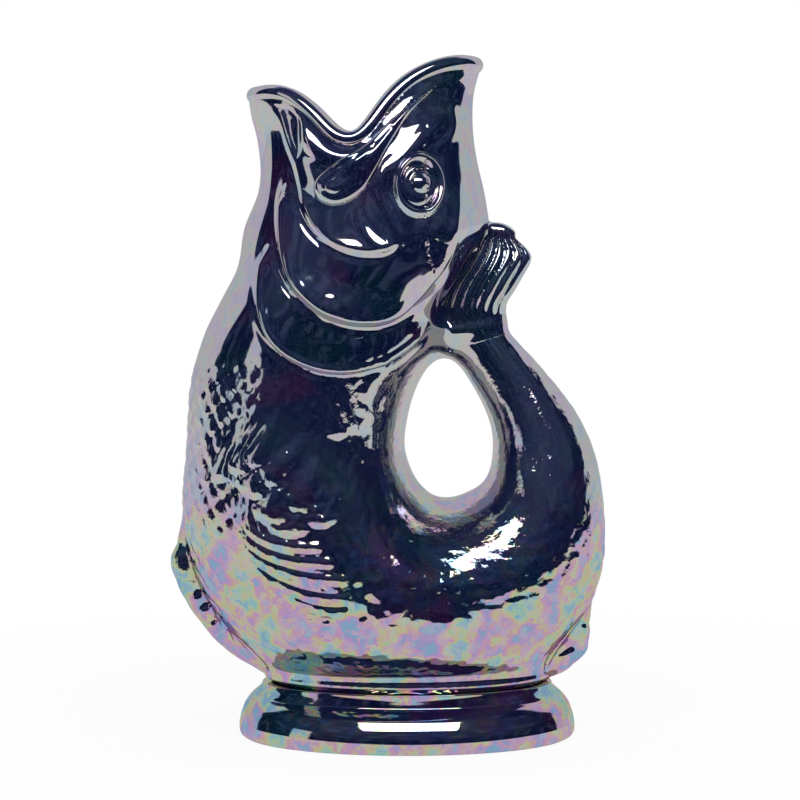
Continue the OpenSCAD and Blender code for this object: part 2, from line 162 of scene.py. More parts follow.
def smoothstep(x, low, high):
    u = np.clip((x - low) / (high - low), 0, 1)
    return u * u * (3 - 2 * u)


def band(x, start, full, fall, end):
    """1 from full to fall, running out smoothly to 0 at start and end"""
    return smoothstep(x, start, full) * (1 - smoothstep(x, fall, end))


def smooth_min(a, b, k):
    return np.minimum(a, b) - np.maximum(k - np.abs(a - b), 0) ** 2 / (4 * k)


class Body:
    """Upright oval sections: middle, half length and half depth at each height"""

    def __init__(self):
        base = [FOOT_H, -BASE_HALF_L, BASE_HALF_L, BASE_HALF_D]
        table = [base, *lengths(BODY_SHARES, SHELL_H, JUG_L, JUG_L, BELLY_D)]
        self.z = np.arange(FOOT_H, JUG_H, MAP_STEP)
        left, right, depth = [smoothed(c, SMOOTH_MM / MAP_STEP) for c in table_at(table, self.z)]
        self.columns = [(left + right) / 2, (right - left) / 2, depth]
        self.slopes = [np.gradient(c, MAP_STEP) for c in self.columns]

    def maps(self, x, z):
        zc = np.clip(z, self.z[0], self.z[-1])
        c, a, h = [np.interp(zc, self.z, v) for v in self.columns]
        dc, da, dh = [np.interp(zc, self.z, v) for v in self.slopes]
        p = (x - c) / a
        return {"p": p, "a": a, "h": h, "w": 0, "e": 1, "lean": -(dc + p * da) / a, "taper": dh}


class Sweep:
    """Sections swept along a bent line in the side view, kept as maps of the side view plane"""

    STEPS = 500
    # How far the maps reach beyond the sections (mm), and what is far off or near an end (half chords)
    REACH = 26.0
    FAR = 9.0
    NEAR_END = 3

    def __init__(self, shares, end_round):
        table = numbered(lengths(shares, JUG_L, SHELL_H, JUG_L, SHELL_H, BELLY_D))
        s = np.linspace(0, table[-1][0], self.STEPS + 1)
        xi, zi, xo, zo, depth = table_at(table, s)
        cx, cz, ex, ez = (xi + xo) / 2, (zi + zo) / 2, (xo - xi) / 2, (zo - zi) / 2
        self.x0 = min(xi.min(), xo.min()) - self.REACH
        self.z0 = min(zi.min(), zo.min()) - self.REACH
        x = np.arange(self.x0, max(xi.max(), xo.max()) + self.REACH, MAP_STEP)[:, None]
        z = np.arange(self.z0, max(zi.max(), zo.max()) + self.REACH, MAP_STEP)[None, :]
        shape = (x.shape[0], z.shape[1])
        best = np.full(shape, self.FAR)
        blank = {"p": self.FAR, "a": 10.0, "h": depth[0], "s": 0.0, "w": 0.0, "e": end_round, "lean": 0.0,
                 "taper": 0.0}
        m = {name: np.full(shape, value) for name, value in blank.items()}
        last = None
        for k in range(self.STEPS + 1):
            side = (x - cx[k]) * ez[k] - (z - cz[k]) * ex[k]
            if last is not None:
                i, j = np.nonzero(last * side <= 0)
                u = last[i, j] / (last[i, j] - side[i, j] + 1e-12)
                mid = [v[k - 1] + u * (v[k] - v[k - 1]) for v in (cx, cz, ex, ez, depth, s)]
                half2 = mid[2] ** 2 + mid[3] ** 2
                p = ((x[i, 0] - mid[0]) * mid[2] + (z[0, j] - mid[1]) * mid[3]) / half2
                ok = np.abs(p) < best[i, j]
                i, j = i[ok], j[ok]
                best[i, j] = np.abs(p[ok])
                for name, v in (("p", p), ("h", mid[4]), ("s", mid[5]), ("a", np.sqrt(half2))):
                    m[name][i, j] = v[ok]
                m["w"][i, j] = 0
            last = side
        for k, inner in ((0, 1), (self.STEPS, self.STEPS - 1)):
            half = math.hypot(ex[k], ez[k])
            n = np.array([-ez[k], ex[k]]) / half
            if n @ (cx[k] - cx[inner], cz[k] - cz[inner]) < 0:
                n = -n
            w = (x - cx[k]) * n[0] + (z - cz[k]) * n[1]
            p = ((x - cx[k]) * ex[k] + (z - cz[k]) * ez[k]) / half**2
            ok = (w > 0) & (np.abs(p) < np.minimum(best, self.NEAR_END)) & (w < self.REACH)
            for name, v in (("p", p), ("h", depth[k]), ("s", s[k]), ("a", half), ("w", w / end_round)):
                m[name][ok] = np.broadcast_to(v, shape)[ok]
        self.m = m
        self.length = np.concatenate([[0], np.cumsum(np.hypot(np.diff(cx), np.diff(cz)))])
        self.keys = s

    def maps(self, x, z):
        """The maps at points of the side view, blended between their samples"""
        shape = self.m["p"].shape
        fx = np.clip((x - self.x0) / MAP_STEP, 0, shape[0] - 1.001)
        fz = np.clip((z - self.z0) / MAP_STEP, 0, shape[1] - 1.001)
        fx, fz = np.broadcast_arrays(fx, fz)
        i, j = fx.astype(int), fz.astype(int)
        u, v = fx - i, fz - j
        return {k: (c[i, j] * (1 - u) + c[i + 1, j] * u) * (1 - v)
                + (c[i, j + 1] * (1 - u) + c[i + 1, j + 1] * u) * v for k, c in self.m.items()}


def section_distance(m, y):
    """About how far a point lies outside an oval section, negative inside"""
    g = np.sqrt(m["p"] ** 2 + (y / m["h"]) ** 2 + m["w"] ** 2)
    gx = m["p"] / m["a"]
    gz = m["p"] * m["lean"] - y * y / m["h"] ** 3 * m["taper"]
    gy = y / m["h"] ** 2
    return (g - 1) * g / np.sqrt(gx * gx + gy * gy + gz * gz + (m["w"] / m["e"]) ** 2 + 1e-8)


BODY = Body()
TAIL = Sweep(TAIL_SHARES, 3.0)


def fish_parts(x, y, z):
    """Maps of the body and of the tail, and how far points lie outside of each"""
    body_maps, tail_maps = BODY.maps(x, z), TAIL.maps(x, z)
    return body_maps, tail_maps, section_distance(body_maps, y), section_distance(tail_maps, y)


def lip_line(count):
    """Points along the lips in the side view"""
    return table_at(numbered(lengths(RIM_SHARES, JUG_L, SHELL_H)), np.linspace(0, len(RIM_SHARES) - 1, count))


def lip_height(x):
    """Height of the lips in the side view, and its slope"""
    rx, rz = lip_line(200)
    return np.interp(x, rx, rz), np.interp(x, rx, np.gradient(rz, rx))


# How far below the middle of the lips the wall ends, inside the bead
LIP_SEAT = 0.12 * LIP_BEAD_D


def shell_parts(x, y, z):
    """Distances to the outside, the cavity, and the plane cuts at the lips and at the collar"""
    _, tail_maps, body, tail = fish_parts(x, y, z)
    fillet = 0.4 + TAIL_FILLET * smoothstep(tail_maps["s"], 0.1, 1.0)
    outer = smooth_min(body, tail, fillet)
    bore = np.maximum(tail + WALL_T, (tail_maps["s"] - BORE_END) * 12)
    inner = -smooth_min(-smooth_min(body + WALL_T, bore, fillet), z - FLOOR_Z, FLOOR_FILLET)
    lip, slope = lip_height(x)
    mouth = (z - lip + LIP_SEAT) / np.sqrt(1 + slope**2)
    return outer, inner, np.maximum(mouth, FOOT_H - z)


def outer_distance(x, y, z):
    return shell_parts(x, y, z)[0]


def inner_distance(x, y, z):
    return shell_parts(x, y, z)[1]


def shell_distance(x, y, z):
    outer, inner, cuts = shell_parts(x, y, z)
    return np.maximum(np.maximum(outer, -inner), cuts)


def surface_net(field, low, high, step):
    """Half of a closed mirror image surface (y from 0 up): points and quads where the field passes zero"""
    n = [int(math.ceil((high[a] - low[a]) / step)) + 1 for a in range(3)]
    x = (low[0] + step * np.arange(n[0]))[:, None, None]
    y = (step * (np.arange(n[1]) - 0.5))[None, :, None]
    z = (low[2] + step * np.arange(n[2]))[None, None, :]
    f = np.broadcast_to(field(x, y, z), n)
    s = f < 0
    corner = list(np.ndindex(2, 2, 2))
    count = sum(s[a:n[0] - 1 + a, b:n[1] - 1 + b, c:n[2] - 1 + c].astype(np.int8) for a, b, c in corner)
    active = (count > 0) & (count < 8)
    cell = np.argwhere(active)
    value = [f[tuple((cell + c).T)] for c in corner]
    total = np.zeros((len(cell), 3))
    hits = np.zeros(len(cell))
    for a in range(8):
        for b in range(a + 1, 8):
            pa, pb = np.array(corner[a]), np.array(corner[b])
            if np.abs(pa - pb).sum() != 1:
                continue
            cut = (value[a] < 0) != (value[b] < 0)
            t = np.where(cut, value[a] / np.where(cut, value[a] - value[b], 1), 0)
            total += np.where(cut[:, None], pa + t[:, None] * (pb - pa), 0)
            hits += cut
    points = (cell + total / hits[:, None]) * step + np.array([low[0], -step / 2, low[2]])
    points[cell[:, 1] == 0, 1] = 0
    index = np.full(active.shape, -1)
    index[active] = np.arange(len(cell))
    quads = []
    for axis in range(3):
        here, after = [s[tuple(own if a == axis else slice(1, -1) for a in range(3))]
                       for own in (slice(0, -1), slice(1, None))]
        at = np.argwhere(here != after) + [a != axis for a in range(3)]
        b, c = (axis + 1) % 3, (axis + 2) % 3
        ring = []
        for db, dc in ((-1, -1), (0, -1), (0, 0), (-1, 0)):
            near = at.copy()
            near[:, b] += db
            near[:, c] += dc
            ring.append(index[tuple(near.T)])
        quad = np.stack(ring, 1)
        inside_first = s[tuple(at.T)]
        quad[~inside_first] = quad[~inside_first][:, ::-1]
        quads.append(quad)
    return points, np.concatenate(quads)


def sides_of(quads):
    """Directed sides of all quads"""
    return np.concatenate([quads[:, [k, (k + 1) % 4]] for k in range(4)])


def edges_of(quads):
    return np.unique(np.sort(sides_of(quads), 1), axis=0)


def relaxed(points, edges, amount=0.5):
    """Points drawn towards their neighbours, with the middle plane kept"""
    a, b = edges.T
    n = len(points)
    total = np.stack([np.bincount(a, c[b], n) + np.bincount(b, c[a], n) for c in points.T], 1)
    count = np.bincount(edges.ravel(), minlength=n)
    moved = points + amount * (total / np.maximum(count, 1)[:, None] - points)
    moved[points[:, 1] == 0, 1] = 0
    return moved


def gradient(field, p, step=0.05):
    return np.stack([field(*(p + e).T) - field(*(p - e).T) for e in np.eye(3) * step], 1) / (2 * step)


def settle(field, points, free):
    """Free points moved along the field's slope onto its zero surface"""
    p = points[free]
    g = gradient(field, p)
    d = np.clip(field(*p.T), -1, 1)
    moved = p - g * (d / np.maximum((g * g).sum(1), 0.05))[:, None]
    moved[p[:, 1] == 0, 1] = 0
    points[free] = moved


def unit(v):
    return v / np.maximum(np.linalg.norm(v, axis=1, keepdims=True), 1e-9)


def pixel_of(p):
    """Where the scene's camera sees points of the left side"""
    dx = p[:, 0] - CAMERA_AT[0]
    dy = -np.abs(p[:, 1]) - CAMERA_AT[1]
    dz = p[:, 2] - CAMERA_AT[2]
    depth = dy * math.cos(CAMERA_PITCH) - dz * math.sin(CAMERA_PITCH)
    up = dy * math.sin(CAMERA_PITCH) + dz * math.cos(CAMERA_PITCH)
    return np.stack([PICTURE_PX / 2 + FOCAL_PX * dx / depth, PICTURE_PX / 2 - FOCAL_PX * up / depth], 1)


def curve_through(points, per_span=6):
    """A smooth line through drawn points"""
    spans = len(points) - 1
    return np.stack(table_at(numbered(points), np.linspace(0, spans, spans * per_span + 1)), 1)


def near_line(line, uv, reach):
    """Numbers of the points in the box that a line fills with some reach round it"""
    return np.nonzero(np.all((uv > line.min(0) - reach) & (uv < line.max(0) + reach), axis=1))[0]


def beside(points, uv, reach):
    """Signed distance from a drawn line, positive on its right, and the share along it; far is reach"""
    line = curve_through(points)
    near = near_line(line, uv, reach)
    best, share = np.full(len(near), float(reach)), np.zeros(len(near))
    step = np.hypot(*np.diff(line, axis=0).T)
    at = np.concatenate([[0], np.cumsum(step)])
    for k in range(len(line) - 1):
        e = line[k + 1] - line[k]
        r = uv[near] - line[k]
        t = np.clip((r @ e) / (e @ e), 0, 1)
        away = np.hypot(*(r - t[:, None] * e).T)
        ok = away < np.abs(best)
        right = e[0] * r[:, 1] - e[1] * r[:, 0] < 0
        best[ok] = np.where(right, away, -away)[ok]
        share[ok] = (at[k] + t[ok] * step[k]) / at[-1]
    d, along = np.full(len(uv), float(reach)), np.zeros(len(uv))
    d[near], along[near] = best, share
    return d, along


def along_lines(strokes, uv, reach):
    """The nearest of several drawn lines: signed distance and share"""
    d, share = np.stack([beside(stroke, uv, reach) for stroke in strokes], 1)
    nearest = np.abs(d).argmin(0), np.arange(len(uv))
    return d[nearest], share[nearest]


def faded(share, start=0.08, end=0.08):
    """1 along a line, falling to 0 at its ends"""
    return smoothstep(share, 0, start) * smoothstep(1 - share, 0, end)


def inside_outline(outline, uv, reach):
    """Signed distance inside a closed outline"""
    loop = outline + outline[:1]
    d, _ = beside(loop, uv, reach)
    x, y = uv.T
    odd = np.zeros(len(uv), bool)
    line = curve_through(loop)
    for a, b in zip(line, line[1:]):
        crosses = (a[1] > y) != (b[1] > y)
        if crosses.any():
            at = a[0] + (y - a[1]) / (b[1] - a[1] + 1e-12) * (b[0] - a[0])
            odd ^= crosses & (x < at)
    return np.where(odd, np.abs(d), -np.abs(d))


# Lines of the head's relief in pixels: each edge has its raised side on the right as it is drawn
CHEEK_EDGE = [(270, 100), (277, 120), (283, 140), (292, 165), (297, 188), (303, 214), (314, 234), (332, 248),
              (356, 256), (382, 256), (402, 246)]
GILL_COVER_EDGE = [(283, 176), (277, 200), (276, 230), (279, 260), (287, 285), (302, 303), (322, 318),
                   (350, 327), (380, 327), (402, 318), (418, 300), (430, 280), (443, 260), (452, 240)]
GILL_KNOB = (330, 309)
GILL_FLAP_EDGE = [(264, 238), (258, 262), (255, 286), (256, 312), (264, 336), (280, 355), (302, 368),
                  (326, 375), (352, 375), (380, 368), (402, 356), (420, 341), (436, 322)]
JAW_FLAP = [(436, 86), (408, 106), (388, 122), (372, 138), (356, 152), (338, 163), (323, 174), (316, 188),
            (320, 201), (334, 206), (350, 201), (364, 190), (374, 174), (384, 156), (396, 136), (412, 112)]
JAW_FLAP_FOLDS = [[(372, 146), (356, 160), (340, 170), (328, 181), (326, 191), (336, 197), (350, 192)],
                  [(392, 126), (378, 142), (368, 158), (360, 172)]]
UPPER_LIP_FOLDS = [[(474, 76), (452, 79), (430, 88), (409, 104), (392, 121), (374, 140)]]
LOWER_LIP_FOLDS = [[(268, 97), (286, 100), (298, 108), (306, 122), (311, 140), (316, 156), (328, 168)]]
JAW_HOLLOW = [(274, 106), (290, 104), (302, 116), (306, 134), (305, 152), (298, 160), (290, 148), (283, 128)]
THROAT_FOLDS = [[(252, 98), (256, 120), (258, 145), (256, 175), (250, 205), (243, 232), (238, 262)],
                [(265, 104), (270, 130), (272, 160), (268, 190), (262, 220), (254, 250), (247, 280)]]
EYE_CENTRE = (419, 185)
EYE_HALF = (17.5, 22.5)
IRIS_CENTRE = (420, 183)
EYE_RING_PX = 9.0
CHEEK_FOLDS = [[(360, 206), (359, 218), (365, 232), (376, 244), (392, 251)],
               [(390, 200), (390, 214), (395, 228), (402, 240), (411, 249)],
               [(440, 206), (428, 219), (420, 232), (418, 248)],
               [(449, 206), (438, 222), (428, 238), (424, 254)],
               [(426, 152), (440, 146), (450, 138), (455, 124), (452, 108), (456, 96)],
               [(460, 178), (456, 212), (447, 240), (438, 268)],
               [(394, 150), (384, 166), (380, 184), (384, 204), (392, 220)]]
NAPE_FOLDS = [[(470, 232), (458, 252), (448, 272), (442, 292), (437, 318)]]
# The folds with their height (mm) and width (px)
FOLDS = ((LOWER_LIP_FOLDS, 0.7, 4.5), (UPPER_LIP_FOLDS, 0.3, 4.0), (CHEEK_FOLDS, 0.8, 5.0),
         (THROAT_FOLDS, 1.1, 5.5), (NAPE_FOLDS, -0.6, 5.5))
# Rolls of the lower lip, the snout, the cheek under the lip and the nape: line, height (mm), width (px)
ROLLS = (([(300, 108), (312, 138), (330, 156), (354, 159), (380, 146)], 2.6, 11.0),
         ([(364, 194), (382, 178), (406, 153), (431, 129), (452, 110)], 1.4, 10.5),
         ([(292, 122), (306, 158), (322, 184), (344, 198)], 1.1, 13.0),
         ([(456, 196), (447, 232), (437, 270), (420, 316)], 3.4, 19.0))
# Rays of the side fin along their crests, from the root to the tips
SIDE_FIN_RAYS = [[(244, 521), (252, 532), (264, 540), (286, 546), (306, 548), (324, 547)],
                 [(238, 527), (248, 542), (264, 553), (289, 561), (312, 563), (337, 563)],
                 [(241, 541), (254, 557), (272, 568), (296, 576), (322, 580), (352, 581)],
                 [(252, 566), (268, 580), (288, 590), (306, 596), (330, 600), (353, 599)],
                 [(290, 598), (308, 607), (328, 613), (350, 613)]]
SIDE_FIN_HALF_PX = 7.2
# Big scales drawn on the flank: centre, half width and half height (px), turn (degrees)
FLANK_SCALES = [
    (256, 457, 13, 13, 28), (273, 475, 16, 13, 42), (241, 465, 13, 12, 26), (221, 472, 9, 11, 20),
    (253, 484, 19, 14, 30), (299, 501, 17, 13, 26), (274, 511, 22, 15, 16), (321, 516, 18, 13, -4),
    (289, 525, 23, 12, 6), (337, 429, 13, 11, -16), (353, 421, 13, 12, -28), (368, 418, 13, 13, -20),
    (368, 394, 14, 12, 35), (384, 374, 8, 7, 0), (360, 458, 6, 6, 0), (371, 441, 5, 5, 0),
    (318, 499, 6, 5, 30), (338, 497, 6, 4, -10), (331, 505, 5, 5, 30), (321, 511, 5, 5, 0)]
# The roll under the left end of the saddle between the belly and the tail
SADDLE_ROLL = [(372, 528), (385, 548), (398, 568), (425, 579), (460, 582), (480, 580)]
# The smooth oval of the saddle: centre and half sizes (px)
SADDLE_CENTRE = (470, 540)
SADDLE_HALF = (92, 40)
# Small pits at the end of the side fin: centre, half width and half height (px)
FLANK_PITS = [(359, 589, 5, 6), (371, 604, 6, 7), (363, 615, 5, 5), (310, 617, 4, 3), (325, 620, 6, 3)]


def oval(points, centre, half):
    """How far out points of a plane lie from an oval's centre, 1 on the oval"""
    return np.hypot((points[:, 0] - centre[0]) / half[0], (points[:, 1] - centre[1]) / half[1])


def ridge(d, half_w):
    """A round ridge over a line, as a share of its height"""
    return np.maximum(1 - (d / half_w) ** 2, 0) ** 1.5


def brushed(points, uv, width):
    """A soft stroke along a drawn line, as a share of its height, fading out at both ends"""
    line = curve_through(points, 8)
    middle, step = (line[1:] + line[:-1]) / 2, np.hypot(*np.diff(line, axis=0).T)
    t = (np.cumsum(step) - step / 2) / step.sum()
    near = near_line(line, uv, 3 * width)
    q = uv[near]
    total = np.zeros(len(near))
    for m, w in zip(middle, step * faded(t, 0.3, 0.3)):
        total += w * np.exp(-((q - m) ** 2).sum(1) / width**2)
    out = np.zeros(len(uv))
    out[near] = total / (width * math.sqrt(math.pi))
    return out


# The plates, each as how far it stands proud of the casting under it (mm), by pixel
def gill_cover_rise(uv):
    d, t = beside(GILL_COVER_EDGE, uv, 60)
    lip = 0.2 * ridge(d - 8, 8) + 0.7 * ridge(oval(uv, GILL_KNOB, (17, 17)), 1)
    return (2.4 * band(d, 0, 7, 7, 46) + lip) * faded(t, 0.10, 0.12)


def gill_flap_rise(uv):
    d, t = beside(GILL_FLAP_EDGE, uv, 60)
    return (1.7 * band(d, 0, 5, 5, 40) + 0.4 * ridge(d - 6, 5)) * faded(t, 0.10, 0.10)


def jaw_flap_rise(uv):
    d = inside_outline(JAW_FLAP, uv, 30)
    fold, t = along_lines(JAW_FLAP_FOLDS, uv, 12)
    dome = 2.6 * np.sqrt(1 - (1 - np.clip(d / 11, 0, 1)) ** 2) + 0.8 * smoothstep(d, 4, 16)
    return dome - 0.4 * ridge(fold, 4.5) * faded(t) * smoothstep(d, 2, 6)


def eye_rise(uv):
    r = oval(uv, EYE_CENTRE, EYE_HALF)
    ball = 2.4 * np.sqrt(np.maximum(1 - r**2, 0)) ** 1.2
    iris = oval(uv, IRIS_CENTRE, (1, 1))
    return ball + 0.9 * ridge(iris, 8.5) - 0.8 * ridge(iris - 11.5, 3.4) * (r < 1)


def eye_ring_rise(uv):
    d = (oval(uv, EYE_CENTRE, EYE_HALF) - 1) * sum(EYE_HALF) / 2
    return 1.9 * ridge(d - EYE_RING_PX / 2, EYE_RING_PX * 0.62)


def side_fin_rise(uv):
    d, t = along_lines(SIDE_FIN_RAYS, uv, 14)
    width = SIDE_FIN_HALF_PX * (0.8 + 0.3 * t)
    return 0.8 * ridge(d, width) * faded(t, 0.15, 0.08)


def flank_scales(uv):
    """Big scales with round lower edges, the upper over the lower: height, and where they hide the rows"""
    out, cover = np.zeros(len(uv)), np.zeros(len(uv))
    for u, v, half_w, half_h, turn in sorted(FLANK_SCALES, key=lambda scale: -scale[1]):
        c, s = math.cos(math.radians(turn)), math.sin(math.radians(turn))
        du, dv = uv[:, 0] - u, uv[:, 1] - v
        across, down = (du * c + dv * s) / half_w, (dv * c - du * s) / half_h
        r = np.hypot(across, np.where(down > 0, down, down / 4.5))
        edge = np.clip((1 - r) / 0.85, 0, 1)
        rise = (0.2 + 0.8 * (1 - (1 - edge) ** 2)) * min(half_h / 9, 1.0)
        out = np.where(edge > 0, rise * smoothstep(edge, 0, np.where(down > 0, 0.1, 0.9)), out)
        cover = np.maximum(cover, smoothstep(1.25 - r, 0, 0.2))
    for u, v, half_w, half_h in FLANK_PITS:
        out -= 0.6 * ridge(oval(uv, (u, v), (half_w, half_h)), 1.5)
    return out, cover


def head_relief(uv):
    """Folds and hollows that belong to the casting itself (mm)"""
    out = np.zeros(len(uv))
    for strokes, height, width in FOLDS:
        for stroke in strokes:
            out += height * (brushed(stroke, uv, width) - 0.35 * brushed(stroke, uv, 2 * width))
    out -= 1.5 * smoothstep(inside_outline(JAW_HOLLOW, uv, 30), -2, 8)
    for line, height, width in ROLLS:
        out += height * brushed(line, uv, width)
    d, t = beside(CHEEK_EDGE, uv, 60)
    ramp = 1 - np.clip((d - 6) / 46, 0, 1)
    steep = smoothstep(t, 0.62, 0.78)
    slope = ramp**3 * steep + ramp * (1 - steep)
    out += (1.2 + 0.7 * steep) * smoothstep(d, 0, 7) * slope * faded(t, 0.10, 0.05)
    for edge, start in ((CHEEK_EDGE, 0.9), (GILL_COVER_EDGE, 0.15), (GILL_FLAP_EDGE, 0.15)):
        d, t = beside(edge, uv, 12)
        out -= 0.3 * ridge(d + 2.5, 4.5) * faded(t, start, 0.1)
    return out


def scale_rows(across, along, jitter):
    """Overlapping scales with round free ends, from 0 to 1, one scale per unit"""
    height = np.zeros_like(across)
    row = np.floor(along)
    for step in (1, 0, -1):
        r = row + step
        shift = 0.5 * np.mod(r, 2)
        for side in (0, 1):
            c = np.floor(across - shift) + side + shift
            wob = jitter * np.sin(12.9898 * c + 78.233 * r)
            dx = across - c - wob
            dy = along - r
            reach = np.hypot(dx / 0.42, dy / 1.05)
            lift = np.maximum(1 - reach**2, 0) ** 0.8 * (0.35 + 0.65 * np.clip(dy + 0.2, 0, 1))
            height = np.maximum(height, np.where(dy > -0.35, lift, 0))
    return height


# Odd factors that make the noise of a cell from its place and a seed, and that spread the result
NOISE_STEPS = (73856093, 19349663, 83492791)
NOISE_SEED, NOISE_SPREAD = 2654435761, 1274126177


def value_noise(p, seed):
    """Smooth noise from -1 to 1 at points, one cell per unit"""
    i = np.floor(p).astype(np.int64)
    f = p - i
    f = f * f * (3 - 2 * f)
    total = np.zeros(len(p))
    for corner in np.ndindex(2, 2, 2):
        n = np.bitwise_xor.reduce((i + corner) * NOISE_STEPS, axis=1) ^ seed * NOISE_SEED
        n = (n ^ (n >> 13)) * NOISE_SPREAD & 0x7FFFFFFF
        total += np.where(corner, f, 1 - f).prod(1) * (n / 0x3FFFFFFF - 1)
    return total


# The thin bead round the neck, above the collar, and the drawn in neck over it: height and rise (mm)
NECK = [[18, 0], [21.8, 0], [22.5, 0.7], [23.2, 1.1], [23.9, 0.8], [24.6, 0], [25.2, -0.5], [26, -0.8],
        [27, -0.95], [29, -0.95], [33, -0.9], [36, -0.68], [40, -0.3], [44, -0.05], [48, 0], [54, 0]]
# Width and length of the scales on the front of the belly, on its sides and on the tail, and the hammer marks
SCALE_W, SCALE_L = 10.0, 4.6
SMALL_SCALE_W, SMALL_SCALE_L = 5.2, 5.4
TAIL_SCALE_W, TAIL_SCALE_L = 5.6, 6.0
HAMMER_MM = 3.6


def way_round(maps, y):
    """How far round an oval section a point lies from its front (mm)"""
    return np.arctan2(np.abs(y) / maps["h"], -maps["p"]) * (maps["a"] + maps["h"]) / 2


def skin_relief(p, uv, body_maps, tail_maps, body, tail):
    """Scales and hammer marks of the flank and the tail, and the roll of the saddle (mm)"""
    on_tail = smoothstep(body - tail, -4, 4)
    x, y, z = p.T
    round_body = way_round(body_maps, y)
    down_tail = np.interp(tail_maps["s"], TAIL.keys, TAIL.length)
    below_head = 1 - smoothstep(z - 0.05 * (x + 60), 132, 146)
    front = 1 - smoothstep(round_body, 44, 52)
    big = scale_rows((round_body - 5) / SCALE_W, (112 - z - 0.24 * round_body) / SCALE_L, 0.04)
    small = scale_rows(round_body / SMALL_SCALE_W, (JUG_H - z) / SMALL_SCALE_L, 0.12)
    curled = scale_rows(way_round(tail_maps, y) / TAIL_SCALE_W, down_tail / TAIL_SCALE_L, 0.12)
    hammer = 0.7 * value_noise(p / HAMMER_MM, 3) + 0.6 * value_noise(p / (HAMMER_MM * 0.52), 5)
    hammer *= 0.3 + 0.7 * smoothstep(oval(uv, SADDLE_CENTRE, SADDLE_HALF), 0.7, 1.15)
    drawn, cover = flank_scales(uv)
    rows = front * (0.85 * big - 0.25) + (1 - front) * 0.30 * small
    marks = (0.12 + 0.18 * band(z, 42, 50, 62, 72)) * hammer
    body_part = below_head * (smoothstep(z, 46, 62) * rows * (1 - cover) + 1.1 * drawn + marks)
    body_part *= 1 - 0.85 * smoothstep(body_maps["p"], 0.72, 0.92) * smoothstep(z, 66, 80)
    low = 1 - smoothstep(z, 66, 84)
    curled *= (0.20 + 0.16 * low) * smoothstep(z, 36, 56) * (1 - smoothstep(tail_maps["s"], 9.5, 10.8))
    tail_part = curled + (0.07 + 0.14 * low) * hammer
    tail_part = tail_part * (1 - 0.85 * smoothstep(-tail_maps["p"], 0.70, 0.90)) - 0.36
    return body_part * (1 - on_tail) + tail_part * on_tail + 1.3 * brushed(SADDLE_ROLL, uv, 14)


def casting_relief(p):
    """All relief of the casting at points of its outside (mm)"""
    x, y, z = p.T
    parts = fish_parts(x, y, z)
    body_maps, _, body, tail = parts
    uv = pixel_of(p)
    on_head = smoothstep(z, 100, 128) * smoothstep(tail - body, -3, 3)
    lip, slope = lip_height(x)
    under_lip = smoothstep((lip - z) / np.sqrt(1 + slope**2), 1, 3.5)
    keel = np.exp(-(y / 3.5) ** 2) * band(z, 176, 190, 226, 236) * (body_maps["p"] < 0)
    out = skin_relief(p, uv, *parts) + head_relief(uv) * on_head + 0.9 * keel
    neck, = table_at(NECK, np.clip(z, NECK[0][0], NECK[-1][0]))
    return out * under_lip * smoothstep(z, FOOT_H + 4, FOOT_H + 9) + neck


def halved(points, quads):
    """Every quad split in four"""
    edges, n = edges_of(quads), len(points)
    pairs = np.sort(sides_of(quads), 1) @ (n, 1)
    sides = n + np.searchsorted(edges @ (n, 1), pairs).reshape(4, -1)
    centre = n + len(edges) + np.arange(len(quads))
    parts = [np.stack([quads[:, k], sides[k], centre, sides[k - 1]], 1) for k in range(4)]
    return np.concatenate([points, points[edges].mean(1), points[quads].mean(1)]), np.concatenate(parts)


def picked(points, quads, keep):
    """The chosen quads with only their own points"""
    chosen = quads[keep]
    used = np.unique(chosen)
    index = np.full(len(points), -1)
    index[used] = np.arange(len(used))
    return points[used], index[chosen]


def open_edges(quads):
    """Directed border edges"""
    sides = sides_of(quads)
    _, index, count = np.unique(np.sort(sides, 1), axis=0, return_index=True, return_counts=True)
    return sides[index[count == 1]]


def mirrored(points, quads):
    """The other half joined on at the middle plane"""
    off = points[:, 1] != 0
    index = np.arange(len(points))
    index[off] = len(points) + np.arange(off.sum())
    return np.concatenate([points, points[off] * (1, -1, 1)]), np.concatenate([quads, index[quads][:, ::-1]])


GLAZE = bpy.data.materials.new("lustre_glaze")


def added(name, data):
    """A new object in the scene"""
    obj = bpy.data.objects.new(name, data)
    bpy.context.scene.collection.objects.link(obj)
    return obj


def piece(name, points, quads, *nodes):
    """A smooth mesh in the CAD's frame that stands for some of its nodes"""
    mesh = bpy.data.meshes.new(name)
    mesh.from_pydata((points * MM).tolist(), [], quads.tolist())
    mesh.validate()
    mesh.shade_smooth()
    mesh.materials.append(GLAZE)
    obj = added(name, mesh)
    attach(obj, "root")
    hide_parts(*nodes)


# The oval round the hole of the handle that is smoothed: centre and half sizes in the side view (mm)
HOLE_CENTRE = (15.5, 108)
HOLE_HALF = (34, 43)


